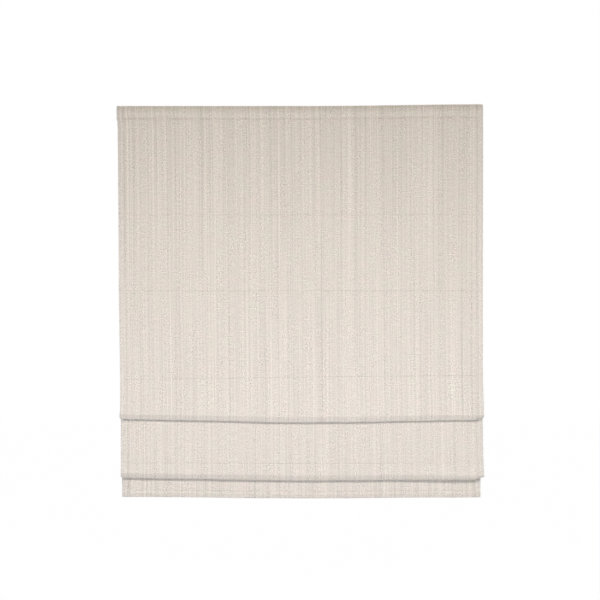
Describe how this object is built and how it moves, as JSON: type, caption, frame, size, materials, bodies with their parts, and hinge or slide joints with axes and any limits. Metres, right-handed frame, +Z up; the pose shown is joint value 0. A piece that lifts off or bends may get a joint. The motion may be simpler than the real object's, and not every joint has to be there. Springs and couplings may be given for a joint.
{
  "type": "roman blind",
  "caption": "Roman blind in natural slub cloth, part raised in soft folds, on a spring-lift headrail with wall brackets, cord spools, rods in sleeves and a weighted hem.",
  "frame": {"origin": "on the wall, at the middle of the four bracket screw holes", "axes": "+Z up, +Y into the wall, +X to the right as the room sees the blind"},
  "size_m": [1, 0.0629, 1.078],
  "materials": {
    "cloth": "linen-look slub weave, matt",
    "tape": "white touch tape",
    "cord": "braided polyester cord",
    "rail": "white powder coat",
    "bracket": "white painted steel",
    "shaft": "drawn steel",
    "spring": "blued spring steel",
    "rod": "drawn glass-fibre rod",
    "white_plastic": "moulded white",
    "grey_plastic": "moulded grey acetal",
    "drum": "moulded natural acetal",
    "gear": "die-cast zinc, satin",
    "clear_plastic": "clear moulded"
  },
  "bodies": {
    "headrail": {"headrail": "rail", "left_end_cap": "white_plastic", "right_end_cap": "white_plastic", "wall_bracket_left": "bracket", "wall_bracket_right": "bracket", "hook_tape": "tape", "loop_tape": "tape", "fabric_panel": "cloth", "motor_frame": "grey_plastic", "motor_side_plate": "grey_plastic", "storage_axle": "shaft", "motor_spring": "spring", "spool_cradles": "grey_plastic", "lift_cord_left": "cord", "lift_cord_centre": "cord", "lift_cord_right": "cord"},
    "lift_stack": {"rod_3": "rod", "rod_4": "rod", "rod_5": "rod", "rod_6": "rod", "fourth_row_rings": "clear_plastic", "sixth_row_rings": "clear_plastic", "cord_anchors": "clear_plastic", "bottom_bar": "rail", "bottom_bar_caps": "white_plastic"},
    "upper_rod": {"rod_1": "rod"},
    "ring_rod": {"rod_2": "rod", "second_row_rings": "clear_plastic"},
    "lift_shaft": {"lift_shaft": "shaft", "cord_spools": "drum", "cord_windings": "cord", "power_drum": "gear"},
    "storage_drum": {"storage_drum": "gear"}
  },
  "joints": [
    {"name": "lift", "type": "slide", "parent": "headrail", "child": "lift_stack", "axis": [0, 0, 1], "range_m": [0, 0.6], "deforming": ["fabric_panel", "lift_cord_left", "lift_cord_centre", "lift_cord_right"]},
    {"name": "upper_rod_lift", "type": "slide", "parent": "headrail", "child": "upper_rod", "axis": [0, 0, 1], "range_m": [0, 0.1295]},
    {"name": "ring_rod_lift", "type": "slide", "parent": "headrail", "child": "ring_rod", "axis": [0, 0, 1], "range_m": [0, 0.4277]},
    {"name": "shaft_turn", "type": "hinge", "parent": "headrail", "child": "lift_shaft", "pos_m": [0, -0.039, 0], "axis": [-1, 0, 0], "range_deg": [0, 3340]},
    {"name": "storage_drum_turn", "type": "hinge", "parent": "headrail", "child": "storage_drum", "pos_m": [-0.17, -0.019, 0], "axis": [-1, 0, 0], "range_deg": [-3340, 0]}
  ],
  "couplings": [
    {"joint": "upper_rod_lift", "follows": "lift", "ratio": 0.21494},
    {"joint": "ring_rod_lift", "follows": "lift", "ratio": 0.71192},
    {"joint": "shaft_turn", "follows": "lift", "rad_per_m": 97.087},
    {"joint": "storage_drum_turn", "follows": "lift", "rad_per_m": -97.087}
  ]
}
